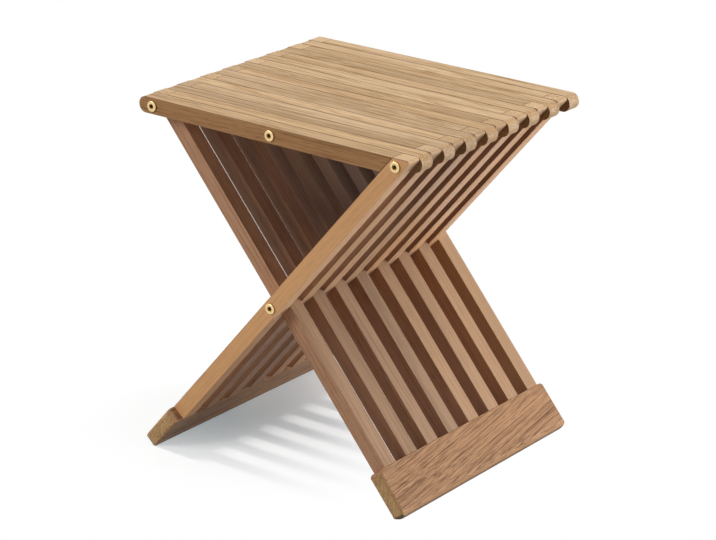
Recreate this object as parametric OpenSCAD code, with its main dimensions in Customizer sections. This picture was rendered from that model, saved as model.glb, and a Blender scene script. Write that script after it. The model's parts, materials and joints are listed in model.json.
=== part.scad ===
// Folding stool of square hardwood bars. Each half of the seat and each set of legs is a comb of bars.
// The combs mesh: odd planes hold a left seat slat and a left leg, even planes a right slat and a right leg.
// The left legs stand on the left foot and lean right, up to the right rod. The right legs mirror them.
// X runs along the seat slats, Y across them from front to back, and Z up. The origin is on the floor.

/* [Seat] */
// Height of the top of the seat above the floor
seat_height = 445; // [400:1:500]
// Distance between the left and the right seat rods
rod_span = 360; // [320:1:420]
// How far the seat slats reach past those rods
end_reach = 21; // [16:0.5:26]
// Height of a seat slat
slat_h = 20; // [18:0.5:26]
// Gap between a slat's cut end and the leg that it rests on
butt_gap = 0.3; // [0.2:0.1:1]

/* [Combs of bars] */
// Number of bars in each comb
bars = 8; // [5:1:10]
// Thickness of every slat and leg, from front to back
bar_t = 20.4; // [16:0.2:26]
// Gap between neighbouring bars
bar_gap = 0.6; // [0.3:0.1:1.5]

/* [Legs] */
// Height of the rod on which the legs cross
cross_height = 222.5; // [200:0.5:240]
// Width of a leg, seen from the front
leg_w = 20; // [18:0.5:26]
// Radius at the sharp tip of a leg's top
tip_round = 4; // [1:0.5:5]

/* [Feet] */
// Width of a foot bar, seen from the front
foot_w = 20; // [18:0.5:26]
// Height of a foot bar, measured along the legs
foot_h = 62; // [45:0.5:80]
// How far a foot reaches past its outer legs
foot_over = 12; // [4:0.5:20]
// Radius of a foot's corners, seen from the side
foot_corner = 8; // [2:0.5:14]
// Depth of the flat on which a foot stands
foot_flat = 0.5; // [0.2:0.1:1]
// Thickness of a leg's tenon, from front to back
tenon_t = 12; // [8:0.5:14]
// Width of a leg's tenon, seen from the front
tenon_w = 14; // [8:0.5:15]
// Length of a leg's tenon
tenon_len = 28; // [15:1:34]
// Play round a tenon in its mortise
tenon_play = 0.1; // [0.05:0.05:0.3]
// Gap between the feet when the stool is folded
closed_gap = 1.4; // [0.6:0.1:4]

/* [Rods and nuts] */
// Diameter of a rod
rod_d = 8; // [8:0.5:10]
// Play between a rod and the wall of its bore
rod_play = 0.08; // [0.05:0.01:0.1]
// Play between the left rod and the seat of its open claw in the right legs
claw_play = 0.2; // [0.1:0.05:0.4]
// Diameter of the studs at a rod's ends
stud_d = 6; // [4:0.5:6]
// Length of those studs
stud_len = 9; // [6:0.5:10]
// Play between a stud and its nut, and between a rod's shoulder and its nut
stud_play = 0.05; // [0.05:0.01:0.1]
// Diameter of a nut's head
nut_d = 13; // [11:0.5:16]
// Height of a nut's head
nut_head = 2.2; // [1.5:0.1:3]
// Width of the bevel round a nut's head
nut_bevel = 0.8; // [0.3:0.1:1]
// Length of a nut's shank in the wood
nut_shank = 14; // [13:0.5:18]
// Diameter of the dish in a nut's head
dish_d = 7.2; // [6.4:0.2:8]
// Depth of that dish
dish_depth = 0.9; // [0.4:0.1:1]
// Width across the flats of the hexagon in a nut
socket_af = 4.5; // [3:0.5:5]
// Depth of that hexagon below the dish
socket_depth = 2.4; // [1.5:0.1:3]

/* [Colours] */
// Colour of the seat slats
slat_colour = "#b9946a"; // ["#b9946a", "#a67c52", "#c8a67c"]
// Colour of the legs
leg_colour = "#b0855a"; // ["#b0855a", "#98704a", "#c09a70"]
// Colour of the feet
foot_colour = "#a8805a"; // ["#a8805a", "#8f6a45", "#b8946c"]
// Colour of the nuts
nut_colour = "#d4b45f"; // ["#d4b45f", "#c0a050", "#b8b8b0"]
// Colour of the rods
rod_colour = "#8c8c88"; // ["#8c8c88", "#b09048"]

/* [Hidden] */
ROD_NAMES = ["left", "middle", "right", "cross"];
END_NAMES = ["front", "back"];
$fn = 96;

LEFT = -1;
RIGHT = 1;
FRONT = -1;
BACK = 1;

pitch = bar_t + bar_gap;
planes = 2 * bars;
stack_y = planes * pitch / 2;          // half the depth of the stack, with half a gap outside it
face_y = stack_y - bar_gap / 2;        // outer face of the first and the last bar

rod_x = rod_span / 2;
rod_z = seat_height - slat_h / 2;
end_x = rod_x + end_reach;
lean = atan2(rod_x, rod_z - cross_height);   // angle between a leg and the vertical
rod_places = [[-rod_x, rod_z], [0, rod_z], [rod_x, rod_z], [0, cross_height]];

foot_end_s = (cross_height - foot_w / 2 + foot_flat) / cos(lean);   // crossing rod to the foot's round edge
shoulder_s = foot_end_s - foot_h + foot_w / 2;                      // crossing rod to the leg's shoulder
foot_len = (planes - 1) * pitch - bar_gap + 2 * foot_over;

// The feet close until the inner corners of their tops are closed_gap apart
closed_lean = atan2(foot_w / 2, shoulder_s) + asin(closed_gap / 2 / norm([foot_w / 2, shoulder_s]));
fold_angle = 2 * (lean - closed_lean);

bore_d = rod_d + 2 * rod_play;
claw_side = rod_d / 2 + claw_play / 2;  // rod's middle to a side of the claw's mouth, which is a little narrower
claw_turn = fold_angle / 2;
claw_reach = 2 * leg_w;                // past the leg's side
rod_shoulder_y = face_y - nut_shank - stud_play;
hex_d = socket_af / cos(30);
tip_steps = 10;                        // short flats in the rounding at a leg's tip
tenon_root = 5;                        // how far a tenon runs on into its leg, and a mortise out of its foot
reach = 4 * seat_height;               // longer than any bar, for trimming

function numbered(stem) = [for (i = [1:bars]) str(stem, i)];

// Left slats and left legs take the odd planes, right ones the even planes
function plane_of(side, i) = side == LEFT ? 2 * i - 1 : 2 * i;
function plane_y(plane) = -stack_y + (plane - 1) * pitch + bar_gap / 2;

// X at the height z on a line that runs along a left leg, at the distance dn to the right of its middle line
function leg_line_x(z, dn) = (z - cross_height) * tan(lean) + dn / cos(lean);

// A front view, drawn in X and Z, as a bar in one plane
module in_plane(plane) {
    translate([0, plane_y(plane) + bar_t, 0]) rotate([90, 0, 0]) linear_extrude(bar_t) children();
}

// Mirrors a left front view to the side asked for
module on_side(side) {
    mirror([side == RIGHT ? 1 : 0, 0]) children();
}

module bores(places) {
    for (p = places) translate(p) circle(d = bore_d);
}

// Front view of a left seat slat: round outer end, and a cut end that rests on a left leg
module slat_view() {
    cut = -leg_w / 2 - butt_gap;
    difference() {
        union() {
            translate([-end_x + slat_h / 2, rod_z]) circle(d = slat_h);
            polygon([
                [-end_x + slat_h / 2, rod_z - slat_h / 2],
                [leg_line_x(rod_z - slat_h / 2, cut), rod_z - slat_h / 2],
                [leg_line_x(rod_z + slat_h / 2, cut), rod_z + slat_h / 2],
                [-end_x + slat_h / 2, rod_z + slat_h / 2]]);
        }
        bores([rod_places[0], rod_places[1]]);
    }
}

// Front view of a left leg: its top is flush with the seat, and its sharp tip is rounded off
module leg_view() {
    aside = leg_w / 2 * [cos(lean), -sin(lean)];
    shoulder = [0, cross_height] - shoulder_s * [sin(lean), cos(lean)];
    run = tip_round / tan((90 - lean) / 2);   // the tip to where its rounding starts
    middle = [leg_line_x(seat_height, leg_w / 2) - run, seat_height - tip_round];
    turn = (90 + lean) / tip_steps;
    polygon([
        shoulder - aside,
        [leg_line_x(seat_height, -leg_w / 2), seat_height],
        for (k = [0:tip_steps]) middle + tip_round * [sin(k * turn), cos(k * turn)],
        shoulder + aside]);
}

// The opening that lets the left rod leave the right legs while the stool folds, drawn round the rod at rest.
// Its upper side points outwards, and its lower side is turned down from that by half the angle of the fold
module claw_view() {
    out = [-cos(claw_turn), -sin(claw_turn)];
    under = [sin(claw_turn), -cos(claw_turn)];
    circle(rod_d / 2 + claw_play);
    polygon([
        [0, claw_side],
        [-claw_reach, claw_side],
        claw_reach * out + claw_side * under,
        claw_side * under]);
}

// Places what is drawn with its Z along the left or right legs, and its origin on the crossing rod
module along_leg(side) {
    translate([0, 0, cross_height]) rotate([0, -side * lean, 0]) children();
}

// A leg's tenon, or its mortise, which is larger by the play on every side
module tenon(side, plane, play = 0) {
    start_y = plane_y(plane) + (bar_t - tenon_t) / 2;
    along_leg(side) translate([-tenon_w / 2 - play, start_y - play, -shoulder_s - tenon_len - play])
        cube([tenon_w + 2 * play, tenon_t + 2 * play, tenon_len + tenon_root + 2 * play]);
}

module seat_slat(side, i) {
    color(slat_colour) in_plane(plane_of(side, i)) on_side(side) slat_view();
}

module left_leg(i) {
    color(leg_colour) {
        in_plane(plane_of(LEFT, i)) difference() {
            leg_view();
            bores([rod_places[2], rod_places[3]]);
        }
        tenon(LEFT, plane_of(LEFT, i));
    }
}

module right_leg(i) {
    color(leg_colour) {
        in_plane(plane_of(RIGHT, i)) difference() {
            on_side(RIGHT) leg_view();
            bores([rod_places[3]]);
            translate(rod_places[0]) claw_view();
        }
        tenon(RIGHT, plane_of(RIGHT, i));
    }
}

// A rectangle with round corners
module rounded_square(size, r) {
    translate([r, 0]) square([size.x - 2 * r, size.y]);
    translate([0, r]) square([size.x, size.y - 2 * r]);
    for (x = [r, size.x - r], y = [r, size.y - r]) translate([x, y]) circle(r);
}

// A foot bar carries one comb of legs in mortises. Its lower edge is round, with a narrow flat on the floor
module foot(side) {
    start_y = plane_y(plane_of(side, 1)) - foot_over;
    color(foot_colour) difference() {
        intersection() {
            along_leg(side) translate([0, start_y + foot_len, 0])
                rotate([90, 0, 0]) linear_extrude(foot_len) {
                    translate([0, -foot_end_s]) circle(d = foot_w);
                    translate([-foot_w / 2, -foot_end_s]) square([foot_w, foot_end_s - shoulder_s]);
                }
            along_leg(side) translate([-foot_w / 2, start_y, -foot_end_s - foot_w / 2])
                rotate([90, 0, 90]) linear_extrude(foot_w) rounded_square([foot_len, foot_h], foot_corner);
            translate([-reach / 2, -reach / 2, 0]) cube(reach);
        }
        for (i = [1:bars]) tenon(side, plane_of(side, i), tenon_play);
    }
}

// A rod with a thinner stud at each end, over which the nuts go
module rod(place) {
    color(rod_colour) translate([place.x, 0, place.y]) rotate([90, 0, 0]) {
        cylinder(d = rod_d, h = 2 * rod_shoulder_y, center = true);
        cylinder(d = stud_d, h = 2 * (rod_shoulder_y + stud_len), center = true);
    }
}

// A round-headed nut, drawn with its head up and the seat of its head at zero
module nut_body() {
    translate([0, 0, -nut_shank]) cylinder(d = rod_d, h = nut_shank);
    cylinder(d = nut_d, h = nut_head - nut_bevel);
    translate([0, 0, nut_head - nut_bevel]) cylinder(d1 = nut_d, d2 = nut_d - 2 * nut_bevel, h = nut_bevel);
}

// The dish and the hexagon in a nut's head, and the hole for the rod's stud
module nut_hollows() {
    dish_z = nut_head - dish_depth;
    translate([0, 0, dish_z]) cylinder(d1 = hex_d, d2 = dish_d, h = dish_depth);
    translate([0, 0, dish_z - socket_depth]) cylinder(d = hex_d, h = socket_depth + dish_depth, $fn = 6);
    translate([0, 0, -nut_shank - stud_play])
        cylinder(d = stud_d + 2 * stud_play, h = stud_len + 2 * stud_play);
}

module nut(place, end) {
    color(nut_colour) translate([place.x, end * face_y, place.y]) rotate([-end * 90, 0, 0])
        difference() {
            nut_body();
            nut_hollows();
        }
}

for (i = [1:bars]) {
    seat_slat(LEFT, i);
    seat_slat(RIGHT, i);
    left_leg(i);
    right_leg(i);
}
foot(LEFT);  // left_foot
foot(RIGHT);  // right_foot
for (r = [0:3]) {
    rod(rod_places[r]);
    nut(rod_places[r], FRONT);
    nut(rod_places[r], BACK);
}
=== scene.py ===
"""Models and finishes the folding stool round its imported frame, with a studio floor, lamps and camera."""

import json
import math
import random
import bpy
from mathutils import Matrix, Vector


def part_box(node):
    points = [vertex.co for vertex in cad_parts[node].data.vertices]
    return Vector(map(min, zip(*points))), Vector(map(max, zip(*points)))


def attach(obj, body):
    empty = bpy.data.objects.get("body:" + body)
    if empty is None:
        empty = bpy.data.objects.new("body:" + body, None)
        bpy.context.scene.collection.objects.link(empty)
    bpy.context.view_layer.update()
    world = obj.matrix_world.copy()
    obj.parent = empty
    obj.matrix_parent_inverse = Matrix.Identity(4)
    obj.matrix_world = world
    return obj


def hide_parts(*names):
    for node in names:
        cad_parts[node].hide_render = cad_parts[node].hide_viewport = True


bl_info = {
    "name": "Folding stool",
    "version": (1, 0, 0),
    "blender": (4, 5, 0),
    "location": "View3D > Sidebar > Stool",
    "description": "Folding stool of hardwood bars with brass nuts, in a plain studio",
    "category": "Object",
}

import bmesh
import bpy
from mathutils import Matrix, Vector

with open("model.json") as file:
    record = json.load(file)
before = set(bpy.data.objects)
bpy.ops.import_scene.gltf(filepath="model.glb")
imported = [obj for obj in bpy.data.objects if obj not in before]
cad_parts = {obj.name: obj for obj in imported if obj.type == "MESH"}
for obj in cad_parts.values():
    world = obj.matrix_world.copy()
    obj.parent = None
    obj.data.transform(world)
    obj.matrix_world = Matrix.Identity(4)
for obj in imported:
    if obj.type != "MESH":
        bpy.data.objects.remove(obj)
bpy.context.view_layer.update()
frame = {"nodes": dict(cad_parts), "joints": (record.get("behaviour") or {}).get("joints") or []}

LEFT, RIGHT = -1, 1
SIDES = {LEFT: "left", RIGHT: "right"}
ENDS = {"front": -1, "back": 1}
RODS = ("left", "middle", "right", "cross")
BARS = sum(1 for n in frame["nodes"] if n.startswith("left_leg_"))
LEG_BODY = {LEFT: "left_leg_frame", RIGHT: "right_leg_frame"}
SEAT_BODY = {LEFT: "left_seat_half", RIGHT: "right_seat_half"}
ROD_BODY = {"left": SEAT_BODY[LEFT], "middle": SEAT_BODY[RIGHT], "right": LEG_BODY[LEFT], "cross": LEG_BODY[LEFT]}


def middle_of(node):
    """The middle of a CAD node's box."""
    low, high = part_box(node)
    return (low + high) / 2


ROD_AT = {r: middle_of(f"{r}_rod") for r in RODS}
SLAT_LOW, SLAT_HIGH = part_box("left_seat_slat_1")
SEAT_TOP = SLAT_HIGH.z
SEAT_END = -SLAT_LOW.x
FACE_Y = -SLAT_LOW.y
SLAT_H = SLAT_HIGH.z - SLAT_LOW.z
CROSS = ROD_AT["cross"]
LEAN = math.atan2(ROD_AT["right"].x - CROSS.x, ROD_AT["right"].z - CROSS.z)
FOLD = math.radians(next(j for j in frame["joints"] if j["name"] == "fold")["range_deg"][1])

# Segments in each kind of rounding, sides of a pin, and the angles from which an edge is eased or stays sharp
HALF_ROUND_STEPS, CORNER_STEPS, TIP_STEPS, END_STEPS, RIM_STEPS, EASE_STEPS = 14, 10, 6, 6, 5, 3
PIN_SIDES = 48
EASED_FROM, SHARP_FROM = math.radians(32), math.radians(40)

# Two places count as one when they are nearer than NEAR. A cutter reaches OVER beyond what it cuts, and stands PROUD
# of faces that it doesn't shape. A leg's blank ends BLANK above the crossing.
NEAR, OVER, PROUD, BLANK = 1e-5, 0.01, 0.00003, 0.4

# Scales of the layers of grain along and across the fibres, in cycles a metre, and how far the fibres bend
BEND, CLOUD, STREAK, LINE, FIBRE = (2.2, 9), (3, 60), (2.6, 300), (6, 600), (50, 1500)
BEND_REACH = 0.024

# Heights between which outer faces turn from the tone of the legs to that of the seat, and the seeds of the wood
SEAT_TONE_FROM, SEAT_TONE_TO = 0.415, 0.430
SLAT_SEED, LEG_SEED, FOOT_SEED = 11, 23, 37

# Place, target, width and height of each lamp
LAMPS = {
    "key": ((-3.15, -0.15, 3.35), (0, 0, 0.2), 0.38, 2.1),
    "top": ((0.8, 0.6, 2.0), (0, 0, 0.3), 1.2, 1.2),
    "front": ((-1.25, -2.5, 1.95), (0, 0, 0.3), 1.4, 1.4),
    "fill": ((2.0, 1.8, 0.62), (0, 0, 0.25), 1.4, 1.1),
    "low": ((1.6, 1.5, 0.15), (0.1, 0, 0.3), 1.4, 0.25),
}
FLOOR_RADIUS = 30


# Properties
class StoolSizes(bpy.types.PropertyGroup):
    """Sizes that the frame's boxes don't give."""

    leg_width: bpy.props.FloatProperty(
        name="Leg width", description="Width of a leg seen from the front",
        default=0.020, min=0.01, max=0.04, unit="LENGTH")
    butt_gap: bpy.props.FloatProperty(
        name="Butt gap", description="Gap between a slat's cut end and the leg beside it",
        default=0.0003, min=0.0001, max=0.002, unit="LENGTH")
    bore: bpy.props.FloatProperty(
        name="Bore", description="Diameter of the bores for the rods",
        default=0.00816, min=0.004, max=0.012, unit="LENGTH")
    claw_seat: bpy.props.FloatProperty(
        name="Claw seat", description="Diameter of the seat of the claws on the right legs",
        default=0.0084, min=0.004, max=0.012, unit="LENGTH")
    claw_mouth: bpy.props.FloatProperty(
        name="Claw mouth", description="Width of a claw's mouth where it leaves the seat",
        default=0.0082, min=0.004, max=0.012, unit="LENGTH")
    tip_run: bpy.props.FloatProperty(
        name="Tip easing", description="How far the rounding at a leg's sharp tip runs along its faces",
        default=0.008631, min=0.001, max=0.012, unit="LENGTH")
    shoulder: bpy.props.FloatProperty(
        name="Shoulder", description="Distance from the crossing rod to a leg's shoulder",
        default=0.227144, min=0.1, max=0.3, unit="LENGTH")
    tenon: bpy.props.FloatVectorProperty(
        name="Tenon", description="Width, thickness and length of a leg's tenon",
        default=(0.014, 0.012, 0.028), size=3, unit="LENGTH")
    tenon_play: bpy.props.FloatProperty(
        name="Tenon play", description="Play round a tenon in its mortise",
        default=0.0001, min=0.0, max=0.001, unit="LENGTH")
    foot_width: bpy.props.FloatProperty(
        name="Foot width", description="Width of a foot bar seen from the front",
        default=0.020, min=0.01, max=0.04, unit="LENGTH")
    foot_height: bpy.props.FloatProperty(
        name="Foot height", description="Height of a foot bar along the legs",
        default=0.062, min=0.03, max=0.1, unit="LENGTH")
    foot_corner: bpy.props.FloatProperty(
        name="Foot corner", description="Radius of a foot's corners seen from the side",
        default=0.008, min=0.001, max=0.015, unit="LENGTH")
    slat_ease: bpy.props.FloatProperty(
        name="Eased slat edge", description="Radius of the eased edges of the slats",
        default=0.0011, min=0.0002, max=0.004, unit="LENGTH")
    leg_ease: bpy.props.FloatProperty(
        name="Eased leg edge", description="Radius of the eased edges of the legs",
        default=0.0006, min=0.0002, max=0.004, unit="LENGTH")
    foot_edge: bpy.props.FloatProperty(
        name="Foot edge", description="Radius of the eased edges round a foot bar's broad faces",
        default=0.001, min=0.0002, max=0.003, unit="LENGTH")
    foot_ease: bpy.props.FloatProperty(
        name="Foot end", description="Radius of the rounding between a foot bar's ends and its broad faces",
        default=0.0042, min=0.0002, max=0.006, unit="LENGTH")
    nut_diameter: bpy.props.FloatProperty(
        name="Nut head", description="Diameter of a nut's head",
        default=0.013, min=0.008, max=0.02, unit="LENGTH")
    nut_head: bpy.props.FloatProperty(
        name="Nut head height", description="How far a nut's head stands out of the wood",
        default=0.0022, min=0.001, max=0.004, unit="LENGTH")
    nut_gap: bpy.props.FloatProperty(
        name="Nut gap", description="Gap between a nut's head and the wood, so that the bars turn freely",
        default=0.00005, min=0.0, max=0.001, unit="LENGTH")
    nut_rim: bpy.props.FloatProperty(
        name="Nut rim", description="Radius of the rounded rim of a nut's head",
        default=0.0008, min=0.0001, max=0.002, unit="LENGTH")
    nut_shank: bpy.props.FloatVectorProperty(
        name="Nut shank", description="Diameter and length of a nut's shank in the wood",
        default=(0.008, 0.014), size=2, unit="LENGTH")
    nut_thread: bpy.props.FloatVectorProperty(
        name="Nut thread", description="Diameter and depth of the hole for the rod's stud",
        default=(0.0061, 0.0091), size=2, unit="LENGTH")
    nut_dish: bpy.props.FloatVectorProperty(
        name="Nut dish", description="Diameter and depth of the dish in a nut's head",
        default=(0.0072, 0.0009), size=2, unit="LENGTH")
    nut_socket: bpy.props.FloatVectorProperty(
        name="Nut socket", description="Width across the flats of the hexagon in a nut, and its depth below the dish",
        default=(0.0045, 0.0024), size=2, unit="LENGTH")


class StoolFinishes(bpy.types.PropertyGroup):
    """Colours and grain of the wood, and colours of the metal."""

    slat_light: bpy.props.FloatVectorProperty(
        name="Slat light", description="Lightest wood of the seat slats",
        default=(0.64, 0.35, 0.160), subtype="COLOR", min=0, max=1)
    slat_dark: bpy.props.FloatVectorProperty(
        name="Slat dark", description="Darkest wood of the seat slats",
        default=(0.29, 0.130, 0.046), subtype="COLOR", min=0, max=1)
    leg_light: bpy.props.FloatVectorProperty(
        name="Leg light", description="Lightest wood of the legs",
        default=(0.65, 0.350, 0.200), subtype="COLOR", min=0, max=1)
    leg_dark: bpy.props.FloatVectorProperty(
        name="Leg dark", description="Darkest wood of the legs",
        default=(0.30, 0.140, 0.070), subtype="COLOR", min=0, max=1)
    foot_light: bpy.props.FloatVectorProperty(
        name="Foot light", description="Lightest wood of the feet",
        default=(0.68, 0.375, 0.180), subtype="COLOR", min=0, max=1)
    foot_dark: bpy.props.FloatVectorProperty(
        name="Foot dark", description="Darkest wood of the feet",
        default=(0.24, 0.105, 0.045), subtype="COLOR", min=0, max=1)
    cut_end: bpy.props.FloatVectorProperty(
        name="Cut end", description="Wood at the cut ends of the foot bars",
        default=(0.80, 0.51, 0.24), subtype="COLOR", min=0, max=1)
    pore: bpy.props.FloatVectorProperty(
        name="Pores", description="Colour in the pores of the wood",
        default=(0.11, 0.055, 0.025), subtype="COLOR", min=0, max=1)
    # Painted sheen: this paler colour paints the top of the seat as the sheen of the top light, with some sun
    # bleaching, and the slats' outward ends as lit faces
    sheen_bleached: bpy.props.FloatVectorProperty(
        name="Bleached", description="Lightest wood on the top of the seat, where sun and use bleach it",
        default=(0.578, 0.396, 0.226), subtype="COLOR", min=0, max=1)
    # Painted light: this paler colour paints the faces that look away from the stool's middle as lit faces
    outer: bpy.props.FloatVectorProperty(
        name="Outer faces", description="Lightest wood on the faces that look away from the stool's middle",
        default=(0.60, 0.366, 0.208), subtype="COLOR", min=0, max=1)
    bar_spread: bpy.props.FloatProperty(
        name="Spread", description="How much lighter or darker one bar is than another",
        default=0.11, min=0.0, max=0.5, subtype="FACTOR")
    ring_spacing: bpy.props.FloatProperty(
        name="Ring spacing", description="Width of a year's growth in the wood",
        default=0.0034, min=0.001, max=0.01, unit="LENGTH")
    brass: bpy.props.FloatVectorProperty(
        name="Brass", description="Colour of the nuts",
        default=(0.82, 0.63, 0.33), subtype="COLOR", min=0, max=1)
    brass_dull: bpy.props.FloatVectorProperty(
        name="Dull brass", description="Colour of the dish in a nut, which no hand rubs",
        default=(0.42, 0.28, 0.10), subtype="COLOR", min=0, max=1)
    steel: bpy.props.FloatVectorProperty(
        name="Steel", description="Colour of the rods",
        default=(0.50, 0.49, 0.47), subtype="COLOR", min=0, max=1)


class StoolStudio(bpy.types.PropertyGroup):
    """Floor, lamps and camera."""

    floor_colour: bpy.props.FloatVectorProperty(
        name="Floor", description="Colour of the studio floor",
        default=(1.0, 0.95, 0.93), subtype="COLOR", min=0, max=1)
    floor_bounce: bpy.props.FloatVectorProperty(
        name="Floor bounce", description="Colour of the light that the floor throws back at the stool",
        default=(0.36, 0.36, 0.36), subtype="COLOR", min=0, max=1)
    floor_lift: bpy.props.FloatVectorProperty(
        name="Floor lift",
        description="Light added to the floor where the camera sees it, against the tint from the wood",
        default=(0.13, 0.19, 0.215), subtype="COLOR", min=0, max=1)
    floor_clear: bpy.props.FloatVectorProperty(
        name="Clear floor", description="Distances over which the floor turns to plain white, seen by the camera",
        default=(0.04, 0.36), size=2, unit="LENGTH")
    floor_middle: bpy.props.FloatVectorProperty(
        name="Shaded floor", description="Middle of the floor that isn't plain white",
        default=(-0.2, 0.0, 0.0), size=3, subtype="TRANSLATION", unit="LENGTH")
    sky_top: bpy.props.FloatProperty(
        name="Room above", description="Light from the white room above the stool",
        default=0.36, min=0.0, max=2.0)
    sky_low: bpy.props.FloatProperty(
        name="Room beside", description="Light from the white room level with the stool",
        default=0.02, min=0.0, max=2.0)
    key_power: bpy.props.FloatProperty(
        name="Key lamp", description="Power of the long lamp on the left",
        default=94.5, min=0.0, max=500.0, unit="POWER")
    top_power: bpy.props.FloatProperty(
        name="Top lamp", description="Power of the wide lamp overhead",
        default=16.5, min=0.0, max=500.0, unit="POWER")
    front_power: bpy.props.FloatProperty(
        name="Front lamp", description="Power of the wide lamp in front",
        default=43.0, min=0.0, max=500.0, unit="POWER")
    fill_power: bpy.props.FloatProperty(
        name="Fill lamp", description="Power of the tall lamp behind on the right",
        default=34.0, min=0.0, max=500.0, unit="POWER")
    low_power: bpy.props.FloatProperty(
        name="Low lamp", description="Power of the low lamp behind on the right",
        default=13.0, min=0.0, max=500.0, unit="POWER")
    camera_at: bpy.props.FloatVectorProperty(
        name="Camera place", description="Where the camera stands",
        default=(1.854572, -2.401255, 1.367040), size=3, subtype="TRANSLATION", unit="LENGTH")
    camera_azimuth: bpy.props.FloatProperty(
        name="Camera azimuth", description="Turn of the camera round the upright axis",
        default=math.radians(37.6907), subtype="ANGLE")
    camera_elevation: bpy.props.FloatProperty(
        name="Camera elevation", description="How far the camera looks down",
        default=math.radians(20.6825), subtype="ANGLE")
    camera_roll: bpy.props.FloatProperty(
        name="Camera roll", description="Turn of the camera about its own view",
        default=math.radians(0.4506), subtype="ANGLE")
    camera_lens: bpy.props.FloatProperty(
        name="Lens", description="Focal length on a 36 mm wide sensor",
        default=133.93, min=10.0, max=500.0, subtype="DISTANCE_CAMERA")


# Modelling helpers
def clear_selection():
    if bpy.context.mode != "OBJECT":
        bpy.ops.object.mode_set(mode="OBJECT")
    bpy.ops.object.select_all(action="DESELECT")


def take(piece):
    """Makes the piece the only selected and the active object."""
    clear_selection()
    piece.select_set(True)
    bpy.context.view_layer.objects.active = piece


def named(name):
    """The object that was added last, under its name."""
    thing = bpy.context.object
    thing.name = thing.data.name = name
    return thing


def open_edit(piece, kind):
    """Opens the piece in edit mode with nothing selected."""
    take(piece)
    bpy.ops.object.mode_set(mode="EDIT")
    bpy.ops.mesh.select_mode(type=kind)
    bpy.ops.mesh.select_all(action="DESELECT")
    return bmesh.from_edit_mesh(piece.data)


def close_edit():
    bpy.ops.object.mode_set(mode="OBJECT")


def apply_place(piece):
    take(piece)
    bpy.ops.object.transform_apply(location=True, rotation=True, scale=True)


def add_block(name, low, high):
    """A block between two corners."""
    clear_selection()
    low, high = Vector(low), Vector(high)
    bpy.ops.mesh.primitive_cube_add(size=1, location=(low + high) / 2)
    block = named(name)
    block.scale = high - low
    apply_place(block)
    return block


def add_pin(name, at, radius, low_y, high_y):
    """A cylinder along Y through the point at."""
    clear_selection()
    bpy.ops.mesh.primitive_cylinder_add(
        vertices=PIN_SIDES, radius=radius, depth=high_y - low_y,
        location=(at.x, (low_y + high_y) / 2, at.z), rotation=(math.pi / 2, 0, 0))
    pin = named(name)
    apply_place(pin)
    return pin


def round_edges(piece, test, width, steps):
    """Rounds the edges that pass the test."""
    shape = open_edit(piece, "EDGE")
    for edge in shape.edges:
        edge.select_set(test(edge))
    bmesh.update_edit_mesh(piece.data)
    bpy.ops.mesh.bevel(offset=width, offset_type="OFFSET", segments=steps, profile=0.5,
                       affect="EDGES", clamp_overlap=True)
    close_edit()


def trim(piece, at, outwards):
    """Cuts the piece off with a plane and closes the cut."""
    open_edit(piece, "VERT")
    bpy.ops.mesh.select_all(action="SELECT")
    bpy.ops.mesh.bisect(plane_co=at, plane_no=outwards, use_fill=True, clear_outer=True)
    close_edit()


def combine(piece, other, how):
    """Cuts the other piece out of this one, or keeps what they share, and deletes the other."""
    take(piece)
    bpy.ops.object.modifier_add(type="BOOLEAN")
    step = piece.modifiers[-1]
    step.operation = how
    step.solver = "EXACT"
    step.object = other
    bpy.ops.object.modifier_apply(modifier=step.name)
    bpy.data.objects.remove(other)


def drill(piece, at, diameter, low_y, high_y):
    """Bores a hole along Y right through the piece, which lies between low_y and high_y."""
    combine(piece, add_pin("cutter", at, diameter / 2, low_y - OVER, high_y + OVER), "DIFFERENCE")


def runs_along(edge, axis):
    """Whether an edge of a block runs along X (0), Y (1) or Z (2)."""
    return abs(edge.verts[0].co[axis] - edge.verts[1].co[axis]) > NEAR


def is_sharp(edge):
    return len(edge.link_faces) == 2 and edge.calc_face_angle(0) > EASED_FROM


def near_axis(edge, at, reach):
    """Whether an edge's middle is within reach of a line along Y through the point at."""
    place = (edge.verts[0].co + edge.verts[1].co) / 2
    return math.hypot(place.x - at.x, place.z - at.z) < reach


def smooth(piece):
    """Shades the rounded edges smooth and keeps the flat faces flat."""
    take(piece)
    bpy.ops.object.shade_smooth_by_angle(angle=SHARP_FROM)
    bpy.ops.object.modifier_add(type="WEIGHTED_NORMAL")
    step = piece.modifiers[-1]
    step.keep_sharp = True
    bpy.ops.object.modifier_apply(modifier=step.name)


def turn_about(piece, at, angle):
    """Turns the piece about a line along Y, its top towards +X for a positive angle."""
    take(piece)
    turn = Matrix.Translation(at) @ Matrix.Rotation(angle, 4, "Y") @ Matrix.Translation(-Vector(at))
    piece.matrix_world = turn @ piece.matrix_world
    apply_place(piece)


def copy_along(piece, name, shift=0.0):
    """A copy with its own mesh, moved along Y."""
    take(piece)
    bpy.ops.object.duplicate()
    twin = named(name)
    bpy.ops.transform.translate(value=(0, shift, 0))
    apply_place(twin)
    return twin


def leg_axis(side):
    """Direction of the legs that stand on one side's foot, upwards."""
    return Vector((-side * math.sin(LEAN), 0, math.cos(LEAN)))


def finish_piece(piece, node, body, material):
    """Gives a modelled piece its material and its place among the CAD bodies."""
    piece.data.materials.clear()
    piece.data.materials.append(material)
    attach(piece, body)
    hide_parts(node)


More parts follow.
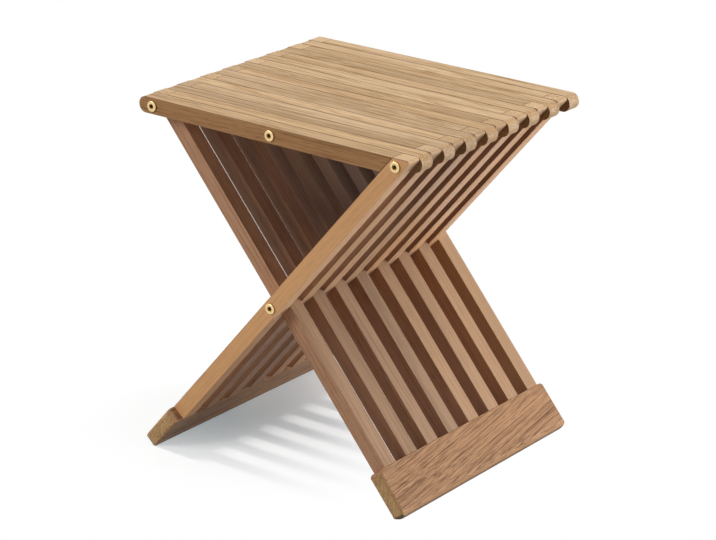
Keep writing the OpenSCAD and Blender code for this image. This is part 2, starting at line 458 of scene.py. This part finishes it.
# Materials
class Nodes:
    """Adds and joins the nodes of one material or world."""

    def __init__(self, owner):
        self.owner = owner
        owner.use_nodes = True
        self.tree = owner.node_tree
        self.tree.nodes.clear()
        self.row = 0

    def add(self, kind, **values):
        node = self.tree.nodes.new(kind)
        node.location = (220 * self.row, 0)
        self.row += 1
        for name, value in values.items():
            setattr(node, name, value)
        return node

    def put(self, socket, value):
        """Sets a socket's value, or joins it to another node's socket."""
        if isinstance(value, bpy.types.NodeSocket):
            self.tree.links.new(value, socket)
        else:
            socket.default_value = value

    def maths(self, operation, first, second=0.0, third=0.0, clamp=False):
        node = self.add("ShaderNodeMath", operation=operation, use_clamp=clamp)
        for socket, value in zip(node.inputs, (first, second, third)):
            self.put(socket, value)
        return node.outputs[0]

    def mapped(self, vector, place=(0, 0, 0), turn=(0, 0, 0), scale=(1, 1, 1)):
        node = self.add("ShaderNodeMapping")
        self.put(node.inputs["Vector"], vector)
        node.inputs["Location"].default_value = place
        node.inputs["Rotation"].default_value = turn
        node.inputs["Scale"].default_value = scale
        return node.outputs[0]

    def noise(self, vector, scale, detail=2.0, rough=0.5, colour=False):
        node = self.add("ShaderNodeTexNoise")
        self.put(node.inputs["Vector"], vector)
        node.inputs["Scale"].default_value = scale
        node.inputs["Detail"].default_value = detail
        node.inputs["Roughness"].default_value = rough
        return node.outputs["Color" if colour else "Fac"]

    def spread(self, value, low, high, to_low=0.0, to_high=1.0, smooth_step=False):
        """Maps a value from one range to another, and clamps it there."""
        node = self.add("ShaderNodeMapRange")
        node.interpolation_type = "SMOOTHSTEP" if smooth_step else "LINEAR"
        self.put(node.inputs["Value"], value)
        for name, number in (("From Min", low), ("From Max", high), ("To Min", to_low), ("To Max", to_high)):
            node.inputs[name].default_value = number
        return node.outputs[0]

    def ramp(self, value, stops):
        node = self.add("ShaderNodeValToRGB")
        self.put(node.inputs[0], value)
        points = node.color_ramp.elements
        while len(points) < len(stops):
            points.new(0.5)
        for point, (place, colour) in zip(points, stops):
            point.position = place
            point.color = (*colour, 1)
        return node.outputs[0]

    def parts(self, vector):
        """The sockets with a vector's three parts."""
        node = self.add("ShaderNodeSeparateXYZ")
        self.put(node.inputs[0], vector)
        return node.outputs

    def length(self, vector):
        node = self.add("ShaderNodeVectorMath", operation="LENGTH")
        self.put(node.inputs[0], vector)
        return node.outputs["Value"]

    def bump(self, height, strength, distance):
        node = self.add("ShaderNodeBump")
        node.inputs["Strength"].default_value = strength
        node.inputs["Distance"].default_value = distance
        self.put(node.inputs["Height"], height)
        return node.outputs[0]

    def seen(self):
        """1 for what the camera sees, in a mirror and through glass too, and 0 for light on its way."""
        path = self.add("ShaderNodeLightPath")
        share = self.maths("MAXIMUM", path.outputs["Is Camera Ray"], path.outputs["Is Glossy Ray"])
        return self.maths("MAXIMUM", share, path.outputs["Is Transmission Ray"])

    def output(self, kind, share, first, second):
        """Mixes two shaders into the output."""
        mix = self.add("ShaderNodeMixShader")
        for socket, value in zip(mix.inputs, (share, first, second)):
            self.put(socket, value)
        self.put(self.add(kind).inputs["Surface"], mix.outputs[0])

    def mixed(self, share, first, second):
        node = self.add("ShaderNodeMix", data_type="RGBA")
        self.put(node.inputs["Factor"], share)
        for socket, value in ((node.inputs[6], first), (node.inputs[7], second)):
            self.put(socket, value if isinstance(value, bpy.types.NodeSocket) else (*value, 1))
        return node.outputs[2]

    def surface(self, colour, roughness, metallic=0.0, specular=0.5, normal=None):
        shader = self.add("ShaderNodeBsdfPrincipled")
        self.put(shader.inputs["Base Color"], colour)
        self.put(shader.inputs["Roughness"], roughness)
        shader.inputs["Metallic"].default_value = metallic
        shader.inputs["Specular IOR Level"].default_value = specular
        if normal:
            self.put(shader.inputs["Normal"], normal)
        out = self.add("ShaderNodeOutputMaterial")
        self.put(out.inputs["Surface"], shader.outputs[0])
        return self.owner


def blend_colour(first, second, share):
    return tuple(a + (b - a) * share for a, b in zip(first, second))


def toned(colour, gain, warmth):
    """A colour made lighter by gain, and redder by warmth."""
    return tuple(min(1.0, max(0.0, c * gain * (1 + w * warmth))) for c, w in zip(colour, (0.5, 0.0, -0.9)))


def wood(name, turn, dice, light, dark, lean=None, spacing=None, gain=1.0, warmth=0.0, contrast=1.0, fine=1.0,
         sheen_and_bleach=0.0, lit_flanks=0.0, lit_flank_colour=None, inward_shade=0.0, gap_shade=0.0, exposed=False, shade=0.0, low_side=1,
         ends=0.0, contact_shade=0.0, groove_shade=0.0, rim_wear_and_highlight=0.35):
    """Hardwood whose grain runs along the bar: growth rings round a heart outside the bar, long streaks and open
    pores, from light wood to dark.

    turn brings the bar's length onto X, and dice draws what differs from bar to bar. lean gives the slope of the
    grain, spacing the width of its rings, and fine how many times finer its streaks are. gain, warmth and contrast
    change the tones. The others say how far, from 0 to 1, the following goes:
    bleach: the top is painted paler, as the sheen of the top light with some sun bleaching; flanks: the faces that
    look away from the stool's middle are painted paler as lit faces, in the colour outside; shelter: those that look
    towards the middle are painted darker as shade; inner: so are those between neighbouring bars, as painted shade,
    but not the outermost face of an exposed bar; shade: so is the part beneath the seat, which is on low_side, as
    painted shade; ends: the cut ends have their own colour; soiled: the lower edge is painted dark as a contact
    shadow; grooves: painted shade darkens the seams between the bars; rims: the eased edges are paler, partly from
    wear and partly as a painted highlight.
    """
    looks = bpy.context.scene.stool_finishes
    spacing = spacing or looks.ring_spacing
    share = dice.uniform(1 - looks.bar_spread, 1 + looks.bar_spread)
    warmth += dice.uniform(-0.09, 0.09)
    light, dark = toned(light, gain * share, warmth), toned(dark, gain * share, warmth)
    n = Nodes(bpy.data.materials.new(name))
    coordinates = n.add("ShaderNodeTexCoord")
    bar = n.mapped(coordinates.outputs["Object"], turn=turn)
    shift = (dice.uniform(-3, 3), dice.uniform(-1, 1), dice.uniform(-1, 1))

    def layer(vector, scale, finer=1.0, **detail):
        """Noise drawn out along the fibres."""
        along_fibres, across_fibres = scale
        scale = (along_fibres, across_fibres * finer, across_fibres * finer)
        return n.noise(n.mapped(vector, scale=scale), 1.0, **detail)

    # Slow bends of the fibres
    away = n.add("ShaderNodeVectorMath", operation="MULTIPLY_ADD")
    n.put(away.inputs[0], layer(n.mapped(bar, place=shift), BEND, detail=1.5, colour=True))
    away.inputs[1].default_value = (0.0, BEND_REACH, BEND_REACH)
    n.put(away.inputs[2], bar)
    angle, reach = dice.uniform(0, 2 * math.pi), dice.uniform(0.03, 0.11)
    heart = (0.0, reach * math.cos(angle), reach * math.sin(angle))
    lean = (0.0, *(lean or (math.radians(dice.uniform(-1, 1)), math.radians(dice.uniform(-1, 1)))))
    rings = n.add("ShaderNodeTexWave", wave_type="RINGS", rings_direction="X", wave_profile="SAW")
    n.put(rings.inputs["Vector"], n.mapped(away.outputs[0], place=heart, turn=lean))
    for dial, value in (("Scale", 0.1 * math.pi / spacing), ("Distortion", 0.7), ("Detail", 1.0),
                        ("Detail Scale", 0.25)):
        rings.inputs[dial].default_value = value

    # The streaks lean with the fibres, across a bar that was sawn at an angle
    run = n.mapped(n.mapped(away.outputs[0], place=shift), turn=lean)
    cloud = layer(run, CLOUD)
    streak = layer(run, STREAK, fine, rough=0.6)
    line = layer(run, LINE, fine, rough=0.6)
    fibre = layer(run, FIBRE, detail=1.0, rough=0.6)

    # 0 is the lightest wood and 1 the darkest, and each layer adds its weight
    depth = 0.0
    for value, weight in ((n.spread(cloud, 0.34, 0.66), 0.22),
                          (n.spread(rings.outputs["Fac"], 0.30, 1.0, smooth_step=True), 0.14),
                          (n.spread(streak, 0.46, 0.62), 0.26),
                          (n.spread(line, 0.52, 0.64), 0.50),
                          (n.spread(fibre, 0.42, 0.72), 0.34)):
        depth = n.maths("MULTIPLY_ADD", value, weight * contrast, depth, clamp=True)
    colour = n.ramp(depth, [(0.0, light), (0.5, blend_colour(light, dark, 0.45)), (1.0, dark)])
    pores = n.spread(fibre, 0.58, 0.70)
    colour = n.mixed(n.maths("MULTIPLY", pores, 0.45 * min(1.0, contrast)), colour, looks.pore)

    def grained(tone, gain, warmth):
        """The colour tone with the grain in it, the darkest wood toned by gain and warmth."""
        return n.ramp(depth, [(0.0, tone), (1.0, toned(tone, gain, warmth))])

    facing = n.parts(n.mapped(coordinates.outputs["Normal"], turn=turn))
    upright = n.parts(coordinates.outputs["Normal"])
    where = n.parts(coordinates.outputs["Object"])
    along, up = n.maths("ABSOLUTE", facing[0]), upright[2]
    sideways, across = n.maths("ABSOLUTE", upright[0]), n.maths("ABSOLUTE", upright[1])
    outward = n.maths("MULTIPLY", where[0], upright[0])

    def beside(share, way):
        """The share on faces that look sideways: away from the stool's middle for a way of 1, towards it for -1."""
        return n.maths("MULTIPLY", n.spread(sideways, 0.45, 0.74, 0.0, share), n.spread(outward, 0.0, way * 0.012))

    # The eased edges are painted paler, partly as rubbed wear and partly as a painted highlight
    flat = n.maths("MAXIMUM", n.maths("MAXIMUM", n.maths("ABSOLUTE", facing[1]), n.maths("ABSOLUTE", facing[2])),
                   along)
    colour = n.mixed(n.spread(flat, 0.97, 0.80, 0.0, rim_wear_and_highlight), colour, toned(light, 1.15, -0.03))

    # Painted light and shade: the top is painted paler as the sheen of the top light, with some sun bleaching; the
    # faces that look away from the stool's middle are painted paler as lit faces, and the sheltered ones that look
    # towards it darker as painted shade
    paler = dice.uniform(-0.12, 0.12)
    pale = toned(looks.sheen_bleached, share + paler, dice.uniform(0.01, 0.05) - 0.45 * paler)
    if lit_flanks:
        outer = toned(lit_flank_colour or looks.outer, share + dice.uniform(-0.07, 0.07), dice.uniform(-0.08, 0.08))
        high = n.spread(where[2], SEAT_TONE_FROM, SEAT_TONE_TO)
        colour = n.mixed(beside(lit_flanks, 1), colour,
                         n.mixed(high, grained(outer, 0.45, 0.08), grained(pale, 0.45, 0.12)))
    if inward_shade:
        colour = n.mixed(beside(inward_shade, -1), colour, toned(dark, 0.55, 0.10))
    if sheen_and_bleach:
        colour = n.mixed(n.spread(up, 0.66, 0.97, 0.0, sheen_and_bleach), colour, grained(pale, 0.22, 0.90))
    if gap_shade:
        # Painted shade: the faces between neighbouring bars are painted dark, but not the one that an end bar shows
        face_share = n.spread(across, 0.85, 0.98, 0.0, gap_shade)
        if exposed:
            inwards = n.spread(n.maths("MULTIPLY", where[1], upright[1]), 0.0, -0.012)
            face_share = n.maths("MULTIPLY", face_share, inwards)
        colour = n.mixed(face_share, colour, toned(dark, 0.55, 0.16))
    if shade:
        # Painted shade: the part of a bar that stands beneath the seat is painted darker too, apart from its top and
        # the face that looks outwards
        under = n.spread(n.maths("MULTIPLY", where[0], low_side), 0.0, -0.05, 0.0, shade)
        under = n.maths("MULTIPLY", under, n.spread(up, 0.85, 0.70))
        colour = n.mixed(n.maths("MULTIPLY", under, n.spread(outward, 0.012, 0.0)), colour, toned(dark, 0.28, 0.10))
    if ends:
        # The cut ends of the fibres show as specks
        colour = n.mixed(n.spread(along, 0.90, 0.995, 0.0, ends), colour, grained(looks.cut_end, 0.4, 0.3))
    if contact_shade:
        # Painted contact shadow: the rounded lower edge that looks outwards is painted dark
        low_share = n.maths("MULTIPLY", n.spread(up, -0.15, -0.55, 0.0, contact_shade), n.spread(outward, 0.0, 0.012))
        colour = n.mixed(low_share, colour, toned(dark, 0.3, -0.1))
    if groove_shade:
        # Painted shade: the seams between bars are painted dark
        seam_shade = n.maths("MULTIPLY", n.spread(across, 0.04, 0.18), n.spread(up, 0.05, 0.25, 0.0, groove_shade))
        colour = n.mixed(seam_shade, colour, toned(dark, 0.2, 0.08))

    height = n.maths("MULTIPLY_ADD", pores, -0.8, n.maths("MULTIPLY", depth, -0.6))
    roughness = n.spread(depth, 0.0, 1.0, 0.46, 0.66)
    return n.surface(colour, roughness, specular=0.25, normal=n.bump(height, 0.35, 0.0004))


def metal(name, colour, roughness, at, dull=None, dish=0.0, socket=0.0, face=0.0):
    """Metal turned about a line along Y through the point at, with turned lines and a light tarnish. Where dull is
    given, the dish has that colour, the socket is nearly black, and the head is dark where it meets the wood."""
    n = Nodes(bpy.data.materials.new(name))
    centred = n.mapped(n.add("ShaderNodeTexCoord").outputs["Object"], place=(-at.x, 0, -at.z))
    tarnish = n.noise(n.mapped(centred, scale=(1, 1, 1)), 420.0, 3.0, 0.6)
    radius = n.length(n.mapped(centred, scale=(1, 0, 1)))
    turned = n.add("ShaderNodeCombineXYZ")
    n.put(turned.inputs[0], n.maths("MULTIPLY", radius, 5200.0))
    shade = n.mixed(n.spread(tarnish, 0.40, 0.75, 0.0, 0.4), colour, toned(colour, 0.66, 0.1))
    if dull:
        shade = n.mixed(n.spread(radius, dish, dish - 0.0003), shade, dull)
        shade = n.mixed(n.spread(radius, socket * 0.95, socket * 0.75), shade, toned(dull, 0.14, 0.2))
        deep = n.maths("ABSOLUTE", n.parts(centred)[1])
        shade = n.mixed(n.spread(deep, face + 0.0009, face + 0.0002), shade, toned(dull, 0.35, 0.2))
    rough = n.spread(tarnish, 0.3, 0.8, roughness, roughness + 0.16)
    return n.surface(shade, rough, metallic=1.0, normal=n.bump(n.noise(turned.outputs[0], 1.0, 2.0), 0.15, 0.0001))


# Wooden pieces
def make_slat(side):
    """One seat slat in the front plane of its side: round outer end, bores, and a cut end against a leg."""
    size = bpy.context.scene.stool_sizes
    low_y, high_y = (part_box(f"{SIDES[side]}_seat_slat_1")[i].y for i in (0, 1))
    outer = side * SEAT_END
    low_x, high_x = sorted((outer, -side * ROD_AT["right"].x))
    slat = add_block(f"slat_{SIDES[side]}_1", (low_x, low_y, SEAT_TOP - SLAT_H), (high_x, high_y, SEAT_TOP))
    out = Vector((-side * math.cos(LEAN), 0, -math.sin(LEAN)))
    leg_side = Vector((0, 0, CROSS.z)) - (size.leg_width / 2 + size.butt_gap) * out
    trim(slat, leg_side, out)
    round_edges(slat, lambda e: all(abs(v.co.x - outer) < NEAR for v in e.verts) and runs_along(e, 1),
                SLAT_H / 2 - NEAR, HALF_ROUND_STEPS)
    bores = [ROD_AT[SIDES[side]], ROD_AT["middle"]]
    for at in bores:
        drill(slat, at, size.bore, low_y, high_y)
    round_edges(slat, lambda e: is_sharp(e) and not any(near_axis(e, at, size.bore * 0.6) for at in bores),
                size.slat_ease, EASE_STEPS)
    smooth(slat)
    return slat


def make_leg(side):
    """One leg in the front plane of its comb, with its tenon, bores and, on the right legs, the open claw."""
    size = bpy.context.scene.stool_sizes
    low_y, high_y = (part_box(f"{SIDES[side]}_leg_1")[i].y for i in (0, 1))
    half = size.leg_width / 2
    leg = add_block(f"leg_{SIDES[side]}_1", (-half, low_y, CROSS.z - size.shoulder), (half, high_y, CROSS.z + BLANK))

    # The tenon is drawn out of the shoulder
    shape = open_edit(leg, "FACE")
    for face in shape.faces:
        face.select_set(face.normal.z < -0.9)
    bmesh.update_edit_mesh(leg.data)
    width, thick, length = size.tenon
    bpy.ops.mesh.extrude_region_move()
    bpy.ops.transform.resize(value=(width / size.leg_width, thick / (high_y - low_y), 1),
                             center_override=(0, (low_y + high_y) / 2, CROSS.z - size.shoulder))
    bpy.ops.mesh.extrude_region_move(TRANSFORM_OT_translate={"value": (0, 0, -length)})
    close_edit()

    turn_about(leg, (0, 0, CROSS.z), -side * LEAN)
    trim(leg, (0, 0, SEAT_TOP), (0, 0, 1))
    tip_x = -side * ((SEAT_TOP - CROSS.z) * math.tan(LEAN) + half / math.cos(LEAN))
    round_edges(leg, lambda e: all(abs(v.co.x - tip_x) < NEAR and abs(v.co.z - SEAT_TOP) < NEAR for v in e.verts),
                size.tip_run, TIP_STEPS)
    bores = [CROSS]
    if side == LEFT:
        bores.append(ROD_AT["right"])
    for at in bores:
        drill(leg, at, size.bore, low_y, high_y)
    if side == RIGHT:
        rod = ROD_AT["left"]
        drill(leg, rod, size.claw_seat, low_y, high_y)
        mouth = add_block("cutter", (rod.x - 5 * OVER, low_y - OVER, rod.z - 5 * OVER),
                          (rod.x, high_y + OVER, rod.z + size.claw_mouth / 2))
        under = Vector((math.sin(FOLD / 2), 0, -math.cos(FOLD / 2)))
        trim(mouth, rod + size.claw_mouth / 2 * under, under)
        combine(leg, mouth, "DIFFERENCE")
        bores.append(rod)
    up = leg_axis(side)
    low_end = 10 * NEAR - size.shoulder

    def eased(edge):
        place = (edge.verts[0].co + edge.verts[1].co) / 2
        return (is_sharp(edge) and (place - CROSS).dot(up) > low_end
                and not any(near_axis(edge, at, size.bore * 0.6) for at in bores))

    round_edges(leg, eased, size.leg_ease, EASE_STEPS)
    smooth(leg)
    return leg


def make_foot(side):
    """A foot bar: round underneath with a narrow flat, rounded corners and ends, and mortises for its legs."""
    size = bpy.context.scene.stool_sizes
    name = SIDES[side]
    low_y, high_y = (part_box(f"{name}_foot")[i].y for i in (0, 1))
    half = size.foot_width / 2
    top = CROSS.z - size.shoulder
    bottom = top - size.foot_height
    foot = add_block(f"foot_{name}", (-half, low_y, bottom), (half, high_y, top))
    round_edges(foot, lambda e: runs_along(e, 0), size.foot_corner, CORNER_STEPS)
    round_edges(foot, is_sharp, size.foot_edge, EASE_STEPS)
    under = add_block("cutter", (-half - PROUD, low_y - OVER, bottom), (half + PROUD, high_y + OVER, top + OVER))
    round_edges(under, lambda e: all(v.co.z < bottom + NEAR for v in e.verts) and runs_along(e, 1),
                half + PROUD - NEAR, HALF_ROUND_STEPS)
    combine(foot, under, "INTERSECT")
    ends = add_block("cutter", (-half - 2 * PROUD, low_y - PROUD, bottom - OVER),
                     (half + 2 * PROUD, high_y + PROUD, top + OVER))
    round_edges(ends, lambda e: runs_along(e, 2), size.foot_ease, END_STEPS)
    combine(foot, ends, "INTERSECT")
    width, thick, length = size.tenon
    play = size.tenon_play
    for i in range(1, BARS + 1):
        y = middle_of(f"{name}_leg_{i}").y
        combine(foot, add_block("cutter", (-width / 2 - play, y - thick / 2 - play, top - length - play),
                                (width / 2 + play, y + thick / 2 + play, top + OVER)), "DIFFERENCE")
    turn_about(foot, (0, 0, CROSS.z), -side * LEAN)
    trim(foot, (0, 0, 0), (0, 0, -1))
    smooth(foot)
    return foot


def bars_of(side, kind, nodes, make):
    """Makes a side's bars along Y. Gives each with its number, its node, and whether it is the outermost of all."""
    name = SIDES[side]
    model = make(side)
    start = middle_of(f"{name}_{nodes}_1").y
    for i in range(1, BARS + 1):
        node = f"{name}_{nodes}_{i}"
        bar = model if i == 1 else copy_along(model, f"{kind}_{name}_{i}", middle_of(node).y - start)
        yield i, bar, node, (side, i) in ((LEFT, 1), (RIGHT, BARS))


class STOOL_OT_seat_slats(bpy.types.Operator):
    """Models the two halves of the seat, one slat a half, and copies each along the seat"""

    bl_idname = "stool.seat_slats"
    bl_label = "Seat slats"

    def execute(self, context):
        looks = context.scene.stool_finishes
        dice = random.Random(SLAT_SEED)
        for side, name in SIDES.items():
            for i, slat, node, outermost in bars_of(side, "slat", "seat_slat", make_slat):
                # Each slat gets painted light and shade: a painted sheen on its top, paler lit outward ends, and
                # painted shade in its gaps and seams
                finish = wood(f"slat_{name}_{i}_wood", (0, 0, 0), dice, looks.slat_light, looks.slat_dark,
                              gain=0.70 if outermost else 0.85, warmth=0.06, contrast=0.85, sheen_and_bleach=1.0, lit_flanks=0.8,
                              gap_shade=0.6, exposed=outermost, groove_shade=dice.uniform(0.75, 1.0), lit_flank_colour=looks.sheen_bleached)
                finish_piece(slat, node, SEAT_BODY[side], finish)
        return {"FINISHED"}


class STOOL_OT_legs(bpy.types.Operator):
    """Models one leg of each comb and copies it along its foot"""

    bl_idname = "stool.legs"
    bl_label = "Legs"

    def execute(self, context):
        looks = context.scene.stool_finishes
        dice = random.Random(LEG_SEED)
        for side, name in SIDES.items():
            turn = (0, math.pi / 2 + side * LEAN, 0)
            for i, leg, node, outermost in bars_of(side, "leg", "leg", make_leg):
                deep = (i - 1) / (BARS - 1)
                # Painted light and shade: the deeper right legs get more painted shade on their inward faces and
                # beneath the seat, and the outward faces are painted paler on the left legs than on the right
                finish = wood(f"leg_{name}_{i}_wood", turn, dice, looks.slat_light if outermost else looks.leg_light,
                              looks.leg_dark, gain=1.2 if outermost else 0.86 if i in (1, BARS) else 0.80,
                              warmth=-0.02 if outermost else 0.04, contrast=0.28 if outermost else 0.7, sheen_and_bleach=1.0,
                              lit_flanks=0.85, inward_shade=0.0 if side == LEFT else 0.15 + 0.6 * deep,
                              gap_shade=0.45 if side == LEFT or outermost else 0.05 if i == 2 else 0.2,
                              exposed=i in (1, BARS), groove_shade=dice.uniform(0.5, 1.0),
                              lit_flank_colour=toned(looks.outer, 1.28 if side == LEFT else 0.77, 0),
                              shade=0.0 if side == LEFT else min(0.9, 1.2 * deep), low_side=side)
                finish_piece(leg, node, LEG_BODY[side], finish)
        return {"FINISHED"}


class STOOL_OT_feet(bpy.types.Operator):
    """Models the two foot bars"""

    bl_idname = "stool.feet"
    bl_label = "Feet"

    def execute(self, context):
        looks = context.scene.stool_finishes
        dice = random.Random(FOOT_SEED)
        for side, name in SIDES.items():
            foot = make_foot(side)
            # Painted shade on the feet: darker inward faces and a dark lower edge as a contact shadow, and paler
            # eased edges that are partly a painted highlight
            finish = wood(f"foot_{name}_wood", (0, side * LEAN, -math.pi / 2), dice, looks.foot_light,
                          looks.foot_dark, lean=(math.radians(7), math.radians(side * -0.7)), spacing=0.006,
                          gain=0.85, contrast=1.2, inward_shade=0.25, ends=0.8, rim_wear_and_highlight=0.5, fine=1.5, contact_shade=0.85)
            finish_piece(foot, f"{name}_foot", LEG_BODY[side], finish)
        return {"FINISHED"}


class STOOL_OT_rods(bpy.types.Operator):
    """Gives the four rods their steel"""

    bl_idname = "stool.rods"
    bl_label = "Rods"

    def execute(self, context):
        for r in RODS:
            steel = metal(f"{r}_rod_steel", context.scene.stool_finishes.steel, 0.30, ROD_AT[r])
            rod = frame["nodes"][f"{r}_rod"]
            rod.data.materials.clear()
            rod.data.materials.append(steel)
        return {"FINISHED"}


def make_nut():
    """A round-headed nut with its head up and the seat of its head at zero."""
    size = bpy.context.scene.stool_sizes
    clear_selection()
    bpy.ops.mesh.primitive_cylinder_add(vertices=PIN_SIDES, radius=size.nut_diameter / 2, depth=size.nut_head,
                                        location=(0, 0, size.nut_head / 2))
    nut = named("nut_model")
    apply_place(nut)
    round_edges(nut, lambda e: all(v.co.z > size.nut_head - NEAR for v in e.verts), size.nut_rim, RIM_STEPS)
    hexagon = size.nut_socket[0] / math.cos(math.pi / 6)
    steps = {1: [("in", size.nut_dish[0]), ("in", size.nut_dish[0] * 0.86), ("move", -size.nut_dish[1] * 0.55),
                 ("in", hexagon * 1.02), ("move", -size.nut_dish[1] * 0.45)],
             -1: [("in", size.nut_shank[0]), ("move", -size.nut_shank[1]), ("in", size.nut_thread[0]),
                  ("move", size.nut_thread[1])]}
    for up, stages in steps.items():
        shape = open_edit(nut, "FACE")
        level = size.nut_head if up > 0 else 0.0
        end = next(f for f in shape.faces if f.normal.z * up > 0.99 and abs(f.calc_center_median().z - level) < NEAR
                   and len(f.verts) > 8)
        end.select_set(True)
        wide = 2 * max(math.hypot(v.co.x, v.co.y) for v in end.verts)
        bmesh.update_edit_mesh(nut.data)
        for what, value in stages:
            if what == "in":
                bpy.ops.mesh.extrude_region_move()
                bpy.ops.transform.resize(value=(value / wide, value / wide, 1), center_override=(0, 0, 0))
                wide = value
            else:
                bpy.ops.mesh.extrude_region_move(TRANSFORM_OT_translate={"value": (0, 0, value)})
        close_edit()
    clear_selection()
    floor = size.nut_head - size.nut_dish[1] - size.nut_socket[1]
    bpy.ops.mesh.primitive_cylinder_add(vertices=6, radius=hexagon / 2, depth=OVER,
                                        location=(0, 0, floor + OVER / 2), rotation=(0, 0, math.pi / 6))
    socket = bpy.context.object
    apply_place(socket)
    combine(nut, socket, "DIFFERENCE")
    smooth(nut)
    return nut


class STOOL_OT_nuts(bpy.types.Operator):
    """Models one nut and puts a copy on each end of each rod"""

    bl_idname = "stool.nuts"
    bl_label = "Nuts"

    def execute(self, context):
        looks, size = context.scene.stool_finishes, context.scene.stool_sizes
        model = make_nut()
        for r in RODS:
            brass = metal(f"{r}_nut_brass", looks.brass, 0.24, ROD_AT[r], looks.brass_dull, size.nut_dish[0] / 2,
                          size.nut_socket[0] / 2, FACE_Y)
            for end, way in ENDS.items():
                nut = copy_along(model, f"nut_{r}_{end}")
                seat = way * (FACE_Y + size.nut_gap)
                nut.matrix_world = (Matrix.Translation((ROD_AT[r].x, seat, ROD_AT[r].z))
                                    @ Matrix.Rotation(-way * math.pi / 2, 4, "X"))
                apply_place(nut)
                finish_piece(nut, f"{r}_rod_{end}_nut", ROD_BODY[r], brass)
        bpy.data.objects.remove(model)
        return {"FINISHED"}


# Stage
def add_lamp(name, at, target, power, width, height):
    """A rectangular lamp that shines at the target."""
    clear_selection()
    bpy.ops.object.light_add(type="AREA", location=at)
    lamp = named(name)
    lamp.data.shape = "RECTANGLE"
    lamp.data.size = width
    lamp.data.size_y = height
    lamp.data.energy = power
    lamp.rotation_euler = (Vector(target) - Vector(at)).to_track_quat("-Z", "Y").to_euler()


class STOOL_OT_stage(bpy.types.Operator):
    """Makes the floor, the white room, the lamps and the camera"""

    bl_idname = "stool.stage"
    bl_label = "Studio"

    def execute(self, context):
        scene = context.scene
        studio = scene.stool_studio
        clear_selection()
        bpy.ops.mesh.primitive_circle_add(vertices=64, radius=FLOOR_RADIUS, fill_type="NGON")
        floor = named("studio_floor")
        n = Nodes(bpy.data.materials.new("studio_floor_paint"))
        seen = n.seen()
        shader = n.add("ShaderNodeBsdfPrincipled")
        shader.inputs["Roughness"].default_value = 0.9
        shader.inputs["Specular IOR Level"].default_value = 0.0
        shader.inputs["Emission Color"].default_value = (*studio.floor_lift, 1)
        n.put(shader.inputs["Base Color"], n.mixed(seen, studio.floor_bounce, studio.floor_colour))
        n.put(shader.inputs["Emission Strength"], seen)
        ground = n.add("ShaderNodeTexCoord").outputs["Object"]
        away = n.length(n.mapped(ground, place=tuple(-c for c in studio.floor_middle)))
        clear = n.maths("MULTIPLY", n.spread(away, *studio.floor_clear, smooth_step=True), seen)
        white = n.add("ShaderNodeEmission")
        n.output("ShaderNodeOutputMaterial", clear, shader.outputs[0], white.outputs[0])
        floor.data.materials.append(n.owner)

        # The room is plain white where it is seen, and lights the stool more from above
        n = Nodes(bpy.data.worlds.new("studio_room"))
        scene.world = n.owner
        up = n.parts(n.add("ShaderNodeTexCoord").outputs["Generated"])[2]
        lit, white = n.add("ShaderNodeBackground"), n.add("ShaderNodeBackground")
        for shader, strength in ((lit, n.spread(up, 0.0, 1.0, studio.sky_low, studio.sky_top)), (white, 1.0)):
            shader.inputs["Color"].default_value = (1, 1, 1, 1)
            n.put(shader.inputs["Strength"], strength)
        n.output("ShaderNodeOutputWorld", n.seen(), lit.outputs[0], white.outputs[0])

        for name, (at, target, width, height) in LAMPS.items():
            add_lamp(f"{name}_lamp", at, target, getattr(studio, f"{name}_power"), width, height)

        clear_selection()
        bpy.ops.object.camera_add(location=studio.camera_at)
        camera = named("studio_camera")
        turn = (Matrix.Rotation(studio.camera_azimuth, 4, "Z")
                @ Matrix.Rotation(math.pi / 2 - studio.camera_elevation, 4, "X")
                @ Matrix.Rotation(studio.camera_roll, 4, "Z"))
        camera.rotation_euler = turn.to_euler()
        camera.data.lens = studio.camera_lens
        camera.data.sensor_width = 36
        camera.data.clip_end = 100
        scene.camera = camera
        scene.view_settings.view_transform = "Standard"
        return {"FINISHED"}


class STOOL_PT_panel(bpy.types.Panel):
    """Lists the stool's pieces, sizes and finishes"""

    bl_idname = "STOOL_PT_panel"
    bl_label = "Folding stool"
    bl_space_type = "VIEW_3D"
    bl_region_type = "UI"
    bl_category = "Stool"

    def draw(self, context):
        scene = context.scene
        for kind in PIECES:
            self.layout.operator(kind.bl_idname)
        for group in (scene.stool_sizes, scene.stool_finishes, scene.stool_studio):
            box = self.layout.box()
            for name in group.__annotations__:
                box.prop(group, name)


PIECES = (STOOL_OT_stage, STOOL_OT_seat_slats, STOOL_OT_legs, STOOL_OT_feet, STOOL_OT_rods, STOOL_OT_nuts)
GROUPS = {"stool_sizes": StoolSizes, "stool_finishes": StoolFinishes, "stool_studio": StoolStudio}


def register():
    for kind in (*GROUPS.values(), *PIECES, STOOL_PT_panel):
        bpy.utils.register_class(kind)
    for name, kind in GROUPS.items():
        setattr(bpy.types.Scene, name, bpy.props.PointerProperty(type=kind))


def unregister():
    for name in GROUPS:
        delattr(bpy.types.Scene, name)
    for kind in (STOOL_PT_panel, *reversed(PIECES), *reversed(GROUPS.values())):
        bpy.utils.unregister_class(kind)


def main():
    register()
    bpy.ops.stool.stage()
    bpy.ops.stool.seat_slats()
    bpy.ops.stool.legs()
    bpy.ops.stool.feet()
    bpy.ops.stool.rods()
    bpy.ops.stool.nuts()
    clear_selection()


if __name__ == "__main__":
    main()
